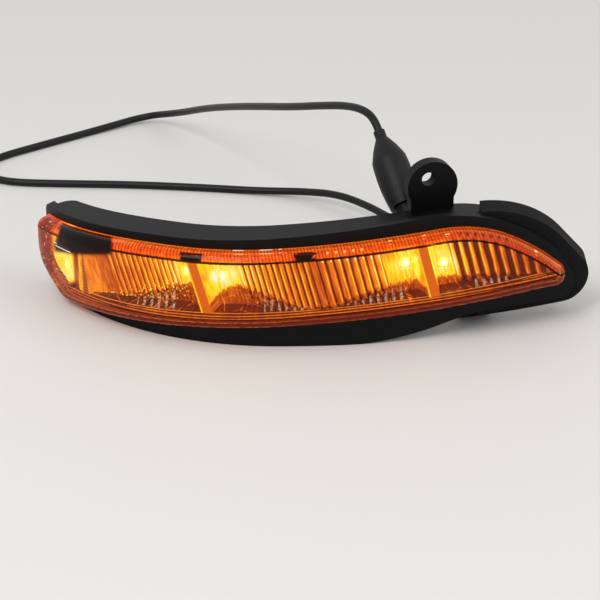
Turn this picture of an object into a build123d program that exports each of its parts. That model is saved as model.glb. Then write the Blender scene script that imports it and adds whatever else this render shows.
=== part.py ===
from build123d import *
import os
from math import asin, cos, degrees, hypot, pi, radians, sin, sqrt, tan

# Side marker lamp of a door mirror: a long curved amber indicator that wraps round
# the outer end of the mirror. A black housing carries a clear cover, a fluted mirror
# finish reflector with five light emitting diodes, a fixing ear, a rubber boot and a lead.
# Millimetres. X runs along the lamp, the cover faces -Y, Z is up. The lamp stands on the
# lower edge of its flange. Origin: middle of the lamp's box, at its lowest level.

os.makedirs("parts", exist_ok=True)

# Plan curve of the flange face: two arcs that meet at the point nearest the viewer
apex_x = -12.3
apex_y = -28.9
left_radius = 100.0
right_radius = 300.0
left_turn = 78.0
right_reach = 130.6
right_turn = degrees(asin(right_reach / right_radius))

# Rear wall of the housing, in plan: it follows the face, a little tighter on the left
case_depth = 20.0
rear_tightening = 2.0
rear_left_radius = left_radius - rear_tightening
rear_right_radius = right_radius


def left_place(share):
    """X on the flange face, left of the apex by a share of the left arc's radius."""
    return apex_x - share * left_radius



# Housing
flange_thickness = 3.0
flange_tip_radius = 6.8
flange_corner_radius = 4.0
case_wall = 2.0
case_proud = 1.0
case_corner_radius = 7.0
block_height = 80.0

# Cover
lens_rise = 6.0
lens_wall = 2.0
lens_shoulder = 4.2
lens_tip_radius = 4.6
lens_corner_radius = 4.4
lens_heel_radius = 12.0
bond_thickness = 0.4

# Reflector
reflector_front = 0.5
reflector_inset = 2.7
pocket_inset = 4.4
pocket_lift = 1.0
slant = 15.0
slant_level = 24.0
pocket_depth = 10.0
reflector_wall = 1.4
post_front = -0.8
ridge_front = -1.2
sweep_power = 1.35
flute_rise = 0.45

# Places along the flange face (X on that face) of what the reflector holds
nose_x = left_place(0.752)
nose_front = 0.4
lip_width = 5.0
scoop_x = left_place(0.677)
scoop_front = -3.2
post_places = (left_place(0.3), 46.6)
post_foot = 8.2
post_top = 4.2
ridge_x = 4.4
ridge_width = 2.4
flute_runs = (
    (scoop_x, left_place(0.417), 14),
    (ridge_x - ridge_width / 2, left_place(0.147), 12),
    (ridge_x + ridge_width / 2, 31.0, 8),
    (91.5, 58.5, 9),
)
reflector_left = left_place(0.907)
reflector_left_front = -2.2
reflector_right = 97.0
reflector_right_front = -1.0

# Plain panel at the top left of the reflector, level with its rim: left and right ends, and
# the heights of its slanting lower edge at those ends
panel_left = left_place(0.832)
panel_right = left_place(0.622)
panel_low = 20.8
panel_high = 30.0

# Light emitting diodes: place along the face and height
end_diode = (left_place(0.855), 12.5)
diode_places = ((left_place(0.38), 24.4), (left_place(0.227), 24.1), (38.8, 28.6), (54.2, 27.4))
diode_size = 3.5
diode_height = 2.1
diode_dome = 0.4
diode_dome_radius = 1.47
window_size = 4.6

# Circuit boards
board_thickness = 1.6
board_corner = 1.0
board_gap = 1.3
diode_board_width = 22.0
diode_board_height = 15.0
end_board_depth = 4.4
end_board_width = 10.0
end_board_height = 8.6
end_board_shift = (2.4, 2.4)
main_board_x = 4.4
main_board_width = 42.0
main_board_height = 18.0
main_board_level = 25.0
seat_depth = 13.0

# Posts of the housing and the pins that hold the small boards
pillar_place = 17.0
pillar_radius = 2.6
pin_places = ((-8.0, -5.2), (8.0, -5.2))
pin_radius = 1.0
pin_proud = 0.3

# Screws that hold the reflector from behind
screw_places = ((left_place(0.557), 20.0), (main_board_x, main_board_level), (79.0, 28.0))
screw_shank = 2.4
screw_head = 5.2
screw_head_height = 1.8
screw_reach = 4.2
screw_slot = 0.8
stub_radius = 2.8
boss_radius = 3.8
pad_radius = 3.6
pad_rise = 0.8

# Small screws of the main board
board_screw_shank = 1.6
board_screw_head = 3.4
board_screw_head_height = 1.3
board_screw_length = 4.4

# Parts on the main board, placed from its middle
resistor_x = 9.5
resistor_pitch = 3.2
resistor_length = 2.0
resistor_width = 1.25
resistor_height = 0.6
driver_x = -9.0
driver_length = 4.9
driver_width = 3.9
driver_height = 1.4
driver_lift = 0.2
leg_pitch = 1.27
leg_row_gap = 4.6
leg_width = 0.45
leg_length = 1.4
leg_height = 0.9
header_x = 9.0
header_y = 4.4
header_width = 6.0
header_height = 4.0
header_depth = 2.6

# Clear insert at the left end
guide_x = left_place(0.873)
guide_low = 18.4
guide_height = 8.0
guide_width = 6.8
guide_back = 1.9
guide_front = 2.0
guide_ridge = 1.2

# Fixing ear
ear_x = 46.5
ear_y = -3.9
ear_z = 56.6
ear_radius = 10.0
ear_hole_radius = 2.7
ear_hole_shift = (-1.75, 3.2)
ear_thickness = 5.0
ear_yaw = 16.0
ear_foot_width = 17.2
ear_foot_height = 15.0

# Cable spout, boot and lead
neck_end = Vector(27.6, 28.1, 65.8)
boot_lean = Vector(-0.300, 0.6745, 0.6745)
boot_length = 33.0
boot_chamber = 14.0
boot_radius = 7.2
boot_mouth_radius = 6.0
neck_radius = 2.3
neck_length = 3.0
lead_straight = 6.0
spout_radius = 4.6
spout_bore = 2.6
spout_grip = 11.0
lead_diameter = 3.2
wire_diameter = 0.9
wire_gap = 1.6

# Connector on the end of the lead
plug_width = 11.0
plug_height = 12.0
plug_length = 22.0
plug_back_length = 9.0
plug_front_width = 9.0
plug_front_height = 9.0
plug_rear_corner = 1.6
plug_front_corner = 1.0
latch_width = 4.0
latch_height = 1.4
latch_setback = 3.0
terminal_pitch = 2.6
terminal_radius = 0.8
terminal_length = 12.0
terminal_recess = 1.5

# Tongue at the lower edge of the rear wall, on which the lamp also stands
tongue_x = 69.0
tongue_width = 14.0
tongue_thickness = 3.0
tongue_height = 24.0
tongue_corner = 2.0

# Breather on the rear wall
vent_place = (left_place(0.117), 30.0)
vent_radius = 2.5
vent_bore = 1.2
vent_length = 3.5
vent_cap_wall = 1.3
vent_cap_gap = 0.4

# Foam seal behind the rim, round the lamp's right end
seal_front = 3.3
seal_rear = 14.0
seal_gap = 0.3
seal_corner = 10.0
seal_start = (65.3, 49.9)
seal_crest = (82.0, 46.4)
seal_fall = (98.3, 34.0)
seal_tip = (119.9, 8.0)
seal_low = 6.5

fit = 0.1


def face_curve(proud):
    """A curve in plan that runs proud of the flange face."""
    return (apex_y - proud, left_radius + proud, right_radius + proud)


def rear_curve(inset):
    """A curve in plan that runs inset forward of the rear wall's outside."""
    return (apex_y + case_depth - inset, rear_left_radius + inset, rear_right_radius + inset)


def plan_point(along, proud):
    """Plan point at X = along on the flange face, moved outwards by proud."""
    radius = left_radius if along < apex_x else right_radius
    turn = asin((along - apex_x) / radius)
    reach = radius + proud
    return (apex_x + reach * sin(turn), apex_y + radius - reach * cos(turn))


def face_plane(along, proud, level):
    """Plane square to the lamp's face, its normal pointing outwards and its Y up."""
    radius = left_radius if along < apex_x else right_radius
    turn = asin((along - apex_x) / radius)
    x, y = plan_point(along, proud)
    return Plane(origin=(x, y, level), x_dir=(cos(turn), sin(turn), 0), z_dir=(sin(turn), -cos(turn), 0))


def band(front, rear):
    """Face in plan between two curves, each a pair of tangent arcs."""
    with BuildSketch(Plane.XY.offset(-10)) as sketch:
        with BuildLine():
            ends = []
            for level, left, right in (front, rear):
                one = CenterArc((apex_x, level + left), left, -90 - left_turn, left_turn)
                two = CenterArc((apex_x, level + right), right, -90, right_turn)
                ends.append((one @ 0, two @ 1))
            Line(ends[0][0], ends[1][0])
            Line(ends[0][1], ends[1][1])
        make_face()
    return sketch.sketch


outline_left = left_place(1.027)


def lens_outline(grow=0.0, lift=0.0):
    """Edge of the cover seen from the front, left open past the lamp's left end."""
    with BuildSketch(Plane.XZ.move(Location((0, 0, lift)))) as sketch:
        with BuildLine():
            top = ThreePointArc((outline_left, 27.6), (left_place(0.737), 34.9), (left_place(0.377), 38.9))
            crown = TangentArc(top @ 1, (49, 46.2), tangent=top % 1)
            drop = TangentArc(crown @ 1, (76.4, 40.9), tangent=crown % 1)
            fall = TangentArc(drop @ 1, (92.5, 29.8), tangent=drop % 1)
            tip = Line(fall @ 1, (105.8, 18.2))
            low = Line(tip @ 1, (88, 17.7))
            keel = ThreePointArc((outline_left, -1), (left_place(0.527), 5.2), (apex_x, 9.5))
            TangentArc(keel @ 1, low @ 1, tangent=keel % 1)
            Line(top @ 0, keel @ 0)
        make_face()
        fillet(sketch.vertices().sort_by(Axis.X)[-1], radius=lens_tip_radius)
        if grow:
            offset(amount=grow, kind=Kind.INTERSECTION, mode=Mode.REPLACE)
    return sketch.sketch


def flange_outline(grow=0.0):
    """Edge of the flange seen from the front, left open past the lamp's left end."""
    with BuildSketch(Plane.XZ) as sketch:
        with BuildLine():
            top = ThreePointArc((outline_left, 31.0), (left_place(0.717), 38.3), (left_place(0.377), 42.2))
            crown = TangentArc(top @ 1, (42, 50.6), tangent=top % 1)
            drop = TangentArc(crown @ 1, (72.3, 46.9), tangent=crown % 1)
            fall = TangentArc(drop @ 1, (90.3, 36.4), tangent=drop % 1)
            steep = TangentArc(fall @ 1, (97, 28.7), tangent=fall % 1)
            tip = Line(steep @ 1, (108.5, 10.8))
            low = Line(tip @ 1, (74, 10.4))
            base = Line((outline_left, 0), (12, 0))
            rise = TangentArc(base @ 1, (52, 6.6), tangent=base % 1)
            TangentArc(rise @ 1, low @ 1, tangent=rise % 1)
            Line(top @ 0, base @ 0)
        make_face()
        fillet(sketch.vertices().sort_by(Axis.X)[-1], radius=flange_tip_radius)
        if grow:
            offset(amount=grow, kind=Kind.INTERSECTION, mode=Mode.REPLACE)
    return sketch.sketch


def keep_outline(outline):
    """Keep what lies inside an outline seen from the front."""
    extrude(outline, amount=300, both=True, mode=Mode.INTERSECT)


# The left end is cut square to the cover, in a plane that faces the same way as the end
end_turn = 55.0
end_plane = Plane(
    origin=(apex_x, apex_y + left_radius, 0),
    x_dir=(cos(radians(end_turn)), -sin(radians(end_turn)), 0),
    z_dir=(-sin(radians(end_turn)), -cos(radians(end_turn)), 0),
)


def keep_left_end(end, shrink=0.0):
    """Keep what lies right of the leaning left end, seen square to that end."""
    edge, slope, foot = end
    start = (edge + shrink, 21)
    with BuildSketch(end_plane) as sketch:
        with BuildLine():
            Line((start[0], 90), start)
            upper = TangentArc(start, (slope[0] + 0.75 * shrink, slope[1] + 0.65 * shrink), tangent=(0, -1))
            lower = TangentArc(upper @ 1, (foot[0] + 0.4 * shrink, foot[1] + 0.9 * shrink), tangent=upper % 1)
            Polyline(lower @ 1, lower @ 1 + Vector(8, -30), (300, -30), (300, 90), (start[0], 90))
        make_face()
    extrude(sketch.sketch, amount=400, both=True, mode=Mode.INTERSECT)


lens_end = (-0.192 * left_radius, (-0.124 * left_radius, 9.3), (0.06 * left_radius, 0.4))
case_end = (-0.22 * left_radius, (-0.145 * left_radius, 8.0), (0.02 * left_radius, -1.6))


def front_rim(solid, proud):
    """Edges round the front surface, without the seam between its two arcs."""
    chosen = []
    for edge in solid.edges():
        on_front = True
        for share in (0.1, 0.5, 0.9):
            point = edge @ share
            radius = left_radius if point.X < apex_x else right_radius
            reach = hypot(point.X - apex_x, point.Y - apex_y - radius)
            on_front = on_front and abs(reach - radius - proud) < 0.01
        seam = abs((edge @ 0).X - apex_x) < 0.01 and abs((edge @ 1).X - apex_x) < 0.01
        if on_front and not seam:
            chosen.append(edge)
    return chosen


def end_corners(solid, low, high, shortest=4.0):
    """Edges at the left end that run in and out between the front and the foot."""
    chosen = []
    for edge in solid.edges():
        run = edge @ 1 - edge @ 0
        upright = abs(run.Z) > 3.0
        long_enough = shortest < run.length < 14.0
        if edge.center().X < left_place(0.757) and low < edge.center().Z < high and long_enough and not upright:
            chosen.append(edge)
    return chosen


def rear_corner(solid):
    """Upright edges where the left end meets the rear wall."""
    chosen = []
    for edge in solid.edges():
        upright = abs((edge @ 1 - edge @ 0).Z) > 3.0
        on_rear = True
        for point in (edge @ 0, edge @ 1):
            reach = hypot(point.X - apex_x, point.Y - apex_y - case_depth - rear_left_radius)
            on_rear = on_rear and abs(reach - rear_left_radius) < 0.01
        if upright and on_rear and edge.center().X < left_place(0.757):
            chosen.append(edge)
    return chosen


def rear_depth(along):
    """Depth of the rear wall's outside, square to the face at X = along."""
    left = along < apex_x
    radius = left_radius if left else right_radius
    rear_radius = rear_left_radius if left else rear_right_radius
    shift = case_depth + rear_radius - radius
    lean = cos(asin((along - apex_x) / radius))
    return radius + shift * lean - sqrt((shift * lean) ** 2 + rear_radius**2 - shift**2)


# Space inside the housing and the foot of the cover
with BuildPart() as lamp_hollow:
    extrude(band(face_curve(1), rear_curve(case_wall)), amount=block_height)
    keep_outline(lens_outline(-lens_wall))
    keep_left_end(lens_end, lens_wall)

# Clear cover, a shell with rounded shoulders
with BuildPart() as lens_cavity:
    extrude(band(face_curve(lens_rise - lens_wall), face_curve(-1)), amount=block_height)
    keep_outline(lens_outline(-lens_wall))
    keep_left_end(lens_end, lens_wall)
    fillet(end_corners(lens_cavity.part, 25, 60), radius=lens_corner_radius - lens_wall)
    fillet(end_corners(lens_cavity.part, 0, 8), radius=lens_heel_radius - lens_wall)
    fillet(front_rim(lens_cavity.part, lens_rise - lens_wall), radius=lens_shoulder - lens_wall)

with BuildPart() as outer_lens:
    extrude(band(face_curve(lens_rise), face_curve(bond_thickness)), amount=block_height)
    keep_outline(lens_outline())
    keep_left_end(lens_end)
    fillet(end_corners(outer_lens.part, 25, 60), radius=lens_corner_radius)
    fillet(end_corners(outer_lens.part, 0, 5), radius=lens_heel_radius)
    fillet(front_rim(outer_lens.part, lens_rise), radius=lens_shoulder)
    add(lens_cavity.part, mode=Mode.SUBTRACT)
outer_lens.part.label = "outer_lens"
export_step(outer_lens.part, "parts/outer_lens.step")

# Bead of adhesive between the foot of the cover and the flange
with BuildPart() as lens_bond:
    extrude(band(face_curve(bond_thickness), face_curve(0)), amount=block_height)
    keep_outline(lens_outline(-bond_thickness))
    keep_left_end(lens_end, bond_thickness)
    add(lamp_hollow.part, mode=Mode.SUBTRACT)
lens_bond.part.label = "lens_bond"
export_step(lens_bond.part, "parts/lens_bond.step")

# Planes of the boards' front faces, their normals towards the viewer
diode_depth = pocket_depth + reflector_wall + board_gap
main_plane = face_plane(main_board_x, -seat_depth, main_board_level)
end_plane_front = face_plane(end_diode[0], -end_board_depth, end_diode[1])
diode_planes = []
for first, second in (diode_places[0:2], diode_places[2:4]):
    middle = (first[0] + second[0]) / 2
    diode_planes.append(face_plane(middle, -diode_depth, (first[1] + second[1]) / 2))

# Where each diode stands: its board's plane and its place on that plane
diode_sites = [(end_plane_front, 0.0, 0.0)]
for number, (along, level) in enumerate(diode_places):
    board_plane = diode_planes[number // 2]
    x, y = plan_point(along, -diode_depth)
    mark = board_plane.to_local_coords(Vector(x, y, level))
    diode_sites.append((board_plane, mark.X, mark.Y))

# Posts inside the housing: screw bosses, board pillars and the feet of the small boards
with BuildPart() as case_posts:
    for along, level in screw_places:
        through_board = (along, level) == (main_board_x, main_board_level)
        top = seat_depth + (board_thickness if through_board else 0)
        with BuildSketch(face_plane(along, -top, level)):
            Circle(boss_radius)
        extrude(amount=-case_depth)
    with BuildSketch(main_plane.offset(-board_thickness)):
        with Locations((-pillar_place, 0), (pillar_place, 0)):
            Circle(pillar_radius)
    extrude(amount=-case_depth)
    for board_plane in diode_planes:
        with BuildSketch(board_plane.offset(-board_thickness)):
            with Locations(*pin_places):
                Circle(pillar_radius)
        extrude(amount=-case_depth)
    with BuildSketch(end_plane_front.offset(-board_thickness)):
        with Locations((2 * end_board_shift[0], end_board_shift[1])):
            Circle(pillar_radius)
    extrude(amount=-case_depth)
    extrude(band(face_curve(-1), rear_curve(case_wall / 2)), amount=block_height, mode=Mode.INTERSECT)

boot_axis = boot_lean.normalized()
boot_base = neck_end - boot_axis * boot_length
wall_depth_at_spout = (boot_base.Y - ear_y) / boot_axis.Y
spout_root = boot_base - boot_axis * (wall_depth_at_spout + spout_radius)
spout_plane = Plane(origin=spout_root, x_dir=(0, 0, 1), z_dir=boot_axis)
spout_length = wall_depth_at_spout + spout_radius + spout_grip
vent_plane = face_plane(vent_place[0], -rear_depth(vent_place[0]), vent_place[1])
ear_plane = Plane(
    origin=(ear_x, ear_y, ear_z),
    x_dir=(cos(radians(ear_yaw)), sin(radians(ear_yaw)), 0),
    z_dir=(sin(radians(ear_yaw)), -cos(radians(ear_yaw)), 0),
)

# Wall of the tub and the flange round its front
with BuildPart() as tub_block:
    extrude(band(face_curve(-1), rear_curve(0)), amount=block_height)
    keep_outline(lens_outline(case_proud))
    keep_left_end(lens_end, -case_proud)
    fillet(rear_corner(tub_block.part), radius=case_corner_radius)

with BuildPart() as flange_plate:
    extrude(band(face_curve(0), face_curve(-flange_thickness)), amount=block_height)
    keep_outline(flange_outline())
    keep_left_end(case_end)
    fillet(end_corners(flange_plate.part, 25, 60, flange_thickness / 2), radius=flange_corner_radius)

# Housing: flange, tub, fixing ear, tongue, cable spout, breather and screw pads
with BuildPart() as rear_housing:
    add(tub_block.part)
    add(flange_plate.part)
    with BuildSketch(ear_plane):
        Circle(ear_radius)
        with Locations((0, -ear_foot_height / 2)):
            Rectangle(ear_foot_width, ear_foot_height)
    extrude(amount=ear_thickness / 2, both=True)
    tongue_plane = face_plane(tongue_x, -rear_depth(tongue_x), 0)
    with BuildSketch(tongue_plane):
        with Locations((0, tongue_height / 2)):
            RectangleRounded(tongue_width, tongue_height, tongue_corner)
    extrude(amount=tongue_thickness)
    with BuildSketch(spout_plane):
        Circle(spout_radius)
    extrude(amount=spout_length)
    with BuildSketch(vent_plane.offset(case_wall)):
        Circle(vent_radius)
    extrude(amount=-(vent_length + case_wall))
    for along, level in screw_places:
        with BuildSketch(face_plane(along, -rear_depth(along) - pad_rise, level)):
            Circle(pad_radius)
        extrude(amount=pad_rise + case_wall)
    add(lamp_hollow.part, mode=Mode.SUBTRACT)
    add(case_posts.part)
    with BuildSketch(spout_plane):
        Circle(spout_bore)
    extrude(amount=spout_length, mode=Mode.SUBTRACT)
    with BuildSketch(vent_plane.offset(case_wall + 1)):
        Circle(vent_bore)
    extrude(amount=-(vent_length + case_wall + 2), mode=Mode.SUBTRACT)
    with BuildSketch(ear_plane):
        with Locations(ear_hole_shift):
            Circle(ear_hole_radius)
    extrude(amount=ear_thickness, both=True, mode=Mode.SUBTRACT)
    for along, level in screw_places:
        with BuildSketch(face_plane(along, -rear_depth(along) - pad_rise - 1, level)):
            Circle(screw_shank / 2 + fit)
        extrude(amount=case_depth, mode=Mode.SUBTRACT)
    with BuildSketch(main_plane.offset(-board_thickness)):
        with Locations((-pillar_place, 0), (pillar_place, 0)):
            Circle(board_screw_shank / 2 + fit)
    extrude(amount=-(board_screw_length - board_thickness + 0.3), mode=Mode.SUBTRACT)
    for board_plane in diode_planes:
        with BuildSketch(board_plane.offset(-board_thickness)):
            with Locations(*pin_places):
                Circle(pin_radius)
        extrude(amount=board_thickness + pin_proud)
    with BuildSketch(end_plane_front.offset(-board_thickness)):
        with Locations((2 * end_board_shift[0], end_board_shift[1])):
            Circle(pin_radius)
    extrude(amount=board_thickness + pin_proud)
rear_housing.part.label = "rear_housing"
export_step(rear_housing.part, "parts/rear_housing.step")


def wall_depth(share, ridge):
    """Depth of a fluted wall at a share of its way from the floor up to its ridge."""
    return -pocket_depth + (ridge + pocket_depth) * share**sweep_power


def flute_points(run, ridge):
    """Arc points of one fluted wall from its ridge to its floor: (start, middle, end) each."""
    high, low, count = run
    arcs = []
    for number in range(count):
        shares = [1 - (number + step) / count for step in (0, 0.5, 1)]
        alongs = [low + (high - low) * share for share in shares]
        depths = [wall_depth(share, ridge) for share in shares]
        depths[1] += flute_rise
        arcs.append([plan_point(along, depth) for along, depth in zip(alongs, depths)])
    return arcs


def floor_arc(start, end, depth):
    """Arc of the pocket floor between two places along the face."""
    return ThreePointArc(plan_point(start, depth), plan_point((start + end) / 2, depth), plan_point(end, depth))


def post_lines(place, foot, top, floor, front):
    """Sides and top of a post that stands on the floor."""
    Line(plan_point(place - foot, floor), plan_point(place - top, front))
    floor_arc(place - top, place + top, front)
    Line(plan_point(place + top, front), plan_point(place + foot, floor))


def mirror_level(along):
    """Depth of the fluted walls at X = along on the face, without the flutes' rise."""
    for (high, low, count), ridge in zip(flute_runs, (scoop_front, ridge_front, ridge_front, ridge_front)):
        share = (along - low) / (high - low)
        if 0 <= share <= 1:
            return wall_depth(share, ridge)
    return ridge_front


def end_chain(behind):
    """The smooth left end of the reflector in plan, up to the lip beside the flutes."""
    ThreePointArc(
        plan_point(reflector_left, reflector_left_front - behind),
        plan_point((reflector_left + nose_x) / 2, reflector_left_front - 0.1 - behind),
        plan_point(nose_x, nose_front - behind),
    )
    floor_arc(nose_x, nose_x + lip_width, nose_front - behind)


def fluted_chain(behind, fluted):
    """The fluted stretch in plan from the lip to the right end; its back has no flutes."""
    floor = -pocket_depth - behind
    left_run, ridge_left_run, ridge_right_run, right_run = flute_runs
    ThreePointArc(
        plan_point(nose_x, nose_front - behind),
        plan_point((nose_x + scoop_x) / 2, (nose_front + scoop_front) / 2 - 0.6 - behind),
        plan_point(scoop_x, scoop_front - behind),
    )
    for run, ridge, backwards in (
        (left_run, scoop_front, False),
        (ridge_left_run, ridge_front, True),
        (ridge_right_run, ridge_front, False),
        (right_run, ridge_front, True),
    ):
        if fluted:
            arcs = flute_points(run, ridge)
            for arc in reversed(arcs) if backwards else arcs:
                ThreePointArc(*(reversed(arc) if backwards else arc))
        else:
            high, low, count = run
            shares = (0, 0.5, 1) if backwards else (1, 0.5, 0)
            ThreePointArc(*[plan_point(low + (high - low) * s, wall_depth(s, ridge) - behind) for s in shares])
    half_foot = post_foot / 2 - behind
    half_top = post_top / 2 - 0.8 * behind
    first, second = post_places
    floor_arc(left_run[1], first - half_foot, floor)
    post_lines(first, half_foot, half_top, floor, post_front - behind)
    floor_arc(first + half_foot, ridge_left_run[1], floor)
    floor_arc(ridge_left_run[0], ridge_right_run[0], ridge_front - behind)
    floor_arc(ridge_right_run[1], second - half_foot, floor)
    post_lines(second, half_foot, half_top, floor, post_front - behind)
    floor_arc(second + half_foot, right_run[1], floor)
    Line(
        plan_point(right_run[0], ridge_front - behind),
        plan_point(reflector_right, reflector_right_front - behind),
    )


def ahead_of_end(behind):
    """Face in plan of what lies in front of the reflector's smooth left end."""
    with BuildSketch(Plane.XY.offset(slant_level)) as sketch:
        with BuildLine():
            end_chain(behind)
            Polyline(
                plan_point(nose_x + lip_width, nose_front - behind),
                plan_point(nose_x + lip_width, 12),
                plan_point(nose_x, 30),
                plan_point(reflector_left, 12),
                plan_point(reflector_left, reflector_left_front - behind),
            )
        make_face()
    return sketch.sketch


def ahead_of_flutes(behind, fluted):
    """Face in plan of what lies in front of the fluted stretch."""
    with BuildSketch(Plane.XY.offset(slant_level)) as sketch:
        with BuildLine():
            fluted_chain(behind, fluted)
            Polyline(
                plan_point(nose_x, nose_front - behind),
                plan_point(nose_x, 12),
                (-100, -80),
                (110, -80),
                plan_point(reflector_right, reflector_right_front - behind),
            )
        make_face()
    return sketch.sketch


lean = Vector(-sin(radians(slant)), 0, cos(radians(slant)))

# Space in front of the reflector's surface, inside its rim
with BuildPart() as reflector_pocket:
    extrude(ahead_of_flutes(0, True), amount=60, dir=lean, both=True)
    extrude(ahead_of_end(0), amount=60, both=True)
    keep_outline(lens_outline(-pocket_inset, pocket_lift))
    keep_left_end(lens_end, pocket_inset)
    with BuildSketch(Plane.XZ) as panel:
        with BuildLine():
            Polyline(
                (panel_left, panel_low),
                (panel_right, panel_high),
                (panel_right, block_height),
                (panel_left, block_height),
                close=True,
            )
        make_face()
    extrude(panel.sketch, amount=300, both=True, mode=Mode.SUBTRACT)

# Everything in front of the reflector's plain back
with BuildPart() as reflector_front_room:
    extrude(ahead_of_flutes(reflector_wall, False), amount=60, dir=lean, both=True)
    extrude(ahead_of_end(reflector_wall), amount=60, both=True)

# Reflector: slanted flutes, two posts between the diodes, a rim and three stubs behind
with BuildPart() as reflector:
    reflector_rear = -pocket_depth - reflector_wall - 1
    extrude(band(face_curve(reflector_front), face_curve(reflector_rear)), amount=block_height)
    keep_outline(lens_outline(-reflector_inset))
    keep_left_end(lens_end, reflector_inset)
    add(reflector_front_room.part, mode=Mode.INTERSECT)
    add(reflector_pocket.part, mode=Mode.SUBTRACT)
    for along, level in screw_places:
        stub_length = seat_depth + mirror_level(along) - reflector_wall / 2
        with BuildSketch(face_plane(along, -seat_depth, level)):
            Circle(stub_radius)
        extrude(amount=stub_length)
        with BuildSketch(face_plane(along, -seat_depth, level)):
            Circle(screw_shank / 2 + fit)
        extrude(amount=screw_reach + 0.2, mode=Mode.SUBTRACT)
    for board_plane, x, y in diode_sites:
        with BuildSketch(board_plane):
            with Locations((x, y)):
                Rectangle(window_size, window_size)
        extrude(amount=diode_height + reflector_wall + 1, mode=Mode.SUBTRACT)
reflector.part.label = "reflector"
export_step(reflector.part, "parts/reflector.step")

# Clear insert with three ridges, which carries the end diode's light to the top corner
guide_plane = face_plane(guide_x, 0, 0)
with BuildPart() as end_light_guide:
    with BuildSketch(Plane(origin=guide_plane.origin + Vector(0, 0, guide_low), x_dir=guide_plane.x_dir)):
        pitch = guide_width / 3
        left = -guide_width / 2
        with BuildLine():
            points = [(left, guide_back), (left, -guide_front)]
            for number in range(3):
                points.append((left + (number + 0.5) * pitch, -guide_front - guide_ridge))
                points.append((left + (number + 1) * pitch, -guide_front))
            points.append((-left, guide_back))
            Polyline(*points, close=True)
        make_face()
    extrude(amount=guide_height)
end_light_guide.part.label = "end_light_guide"
export_step(end_light_guide.part, "parts/end_light_guide.step")

# Soft foam seal behind the rim, round the right end of the tub
with BuildPart() as tip_seal:
    extrude(band(face_curve(-seal_front), face_curve(-seal_rear)), amount=block_height)
    with BuildSketch(Plane.XZ) as seal_edge:
        with BuildLine():
            roof = ThreePointArc(seal_start, seal_crest, seal_fall)
            Polyline(roof @ 1, seal_tip, (seal_start[0], seal_low), roof @ 0)
        make_face()
        corner = seal_edge.vertices().sort_by(Axis.X)[-1]
        fillet(corner, radius=seal_corner)
    extrude(amount=300, both=True, mode=Mode.INTERSECT)
    extrude(lens_outline(case_proud + seal_gap), amount=300, both=True, mode=Mode.SUBTRACT)
tip_seal.part.label = "tip_seal"
export_step(tip_seal.part, "parts/tip_seal.step")

# Main board, with a hole for the middle reflector screw and two for its own screws
with BuildPart() as main_board:
    with BuildSketch(main_plane):
        RectangleRounded(main_board_width, main_board_height, board_corner)
        Circle(screw_shank / 2 + fit, mode=Mode.SUBTRACT)
        with Locations((-pillar_place, 0), (pillar_place, 0)):
            Circle(board_screw_shank / 2 + fit, mode=Mode.SUBTRACT)
    extrude(amount=-board_thickness)
main_board.part.label = "main_board"
export_step(main_board.part, "parts/main_board.step")

# Small boards that carry the diodes, held on pins of the housing
for name, board_plane in zip(("led_board_1", "led_board_2"), diode_planes):
    with BuildPart() as diode_board:
        with BuildSketch(board_plane):
            RectangleRounded(diode_board_width, diode_board_height, board_corner)
            with Locations(*pin_places):
                Circle(pin_radius + fit, mode=Mode.SUBTRACT)
        extrude(amount=-board_thickness)
    diode_board.part.label = name
    export_step(diode_board.part, "parts/" + name + ".step")

with BuildPart() as end_led_board:
    with BuildSketch(end_plane_front):
        with Locations(end_board_shift):
            RectangleRounded(end_board_width, end_board_height, board_corner)
        with Locations((2 * end_board_shift[0], end_board_shift[1])):
            Circle(pin_radius + fit, mode=Mode.SUBTRACT)
    extrude(amount=-board_thickness)
end_led_board.part.label = "end_led_board"
export_step(end_led_board.part, "parts/end_led_board.step")

# Light emitting diodes, each a square package with a low round dome
for number, (board_plane, x, y) in enumerate(diode_sites, start=1):
    name = "led_" + str(number)
    with BuildPart() as diode:
        with BuildSketch(board_plane):
            with Locations((x, y)):
                Rectangle(diode_size, diode_size)
        extrude(amount=diode_height - diode_dome)
        with BuildSketch(board_plane.offset(diode_height - diode_dome)):
            with Locations((x, y)):
                Circle(diode_dome_radius)
        extrude(amount=diode_dome, taper=20)
    diode.part.label = name
    export_step(diode.part, "parts/" + name + ".step")

# Chip resistors, the current driver and the wire header on the main board
with BuildPart() as resistors:
    with BuildSketch(main_plane):
        with Locations((resistor_x, 0)):
            with GridLocations(resistor_pitch, resistor_pitch, 2, 3):
                Rectangle(resistor_length, resistor_width)
    extrude(amount=resistor_height)
resistors.part.label = "resistors"
export_step(resistors.part, "parts/resistors.step")

with BuildPart() as driver_chip:
    with BuildSketch(main_plane.offset(driver_lift)):
        with Locations((driver_x, 0)):
            Rectangle(driver_length, driver_width)
    extrude(amount=driver_height)
    with BuildSketch(main_plane):
        with Locations((driver_x, 0)):
            with GridLocations(leg_pitch, leg_row_gap, 4, 2):
                Rectangle(leg_width, leg_length)
    extrude(amount=leg_height)
driver_chip.part.label = "driver_chip"
export_step(driver_chip.part, "parts/driver_chip.step")

with BuildPart() as wire_header:
    with BuildSketch(main_plane.offset(-board_thickness)):
        with Locations((header_x, header_y)):
            Rectangle(header_width, header_height)
    extrude(amount=-header_depth)
wire_header.part.label = "wire_header"
export_step(wire_header.part, "parts/wire_header.step")

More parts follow.
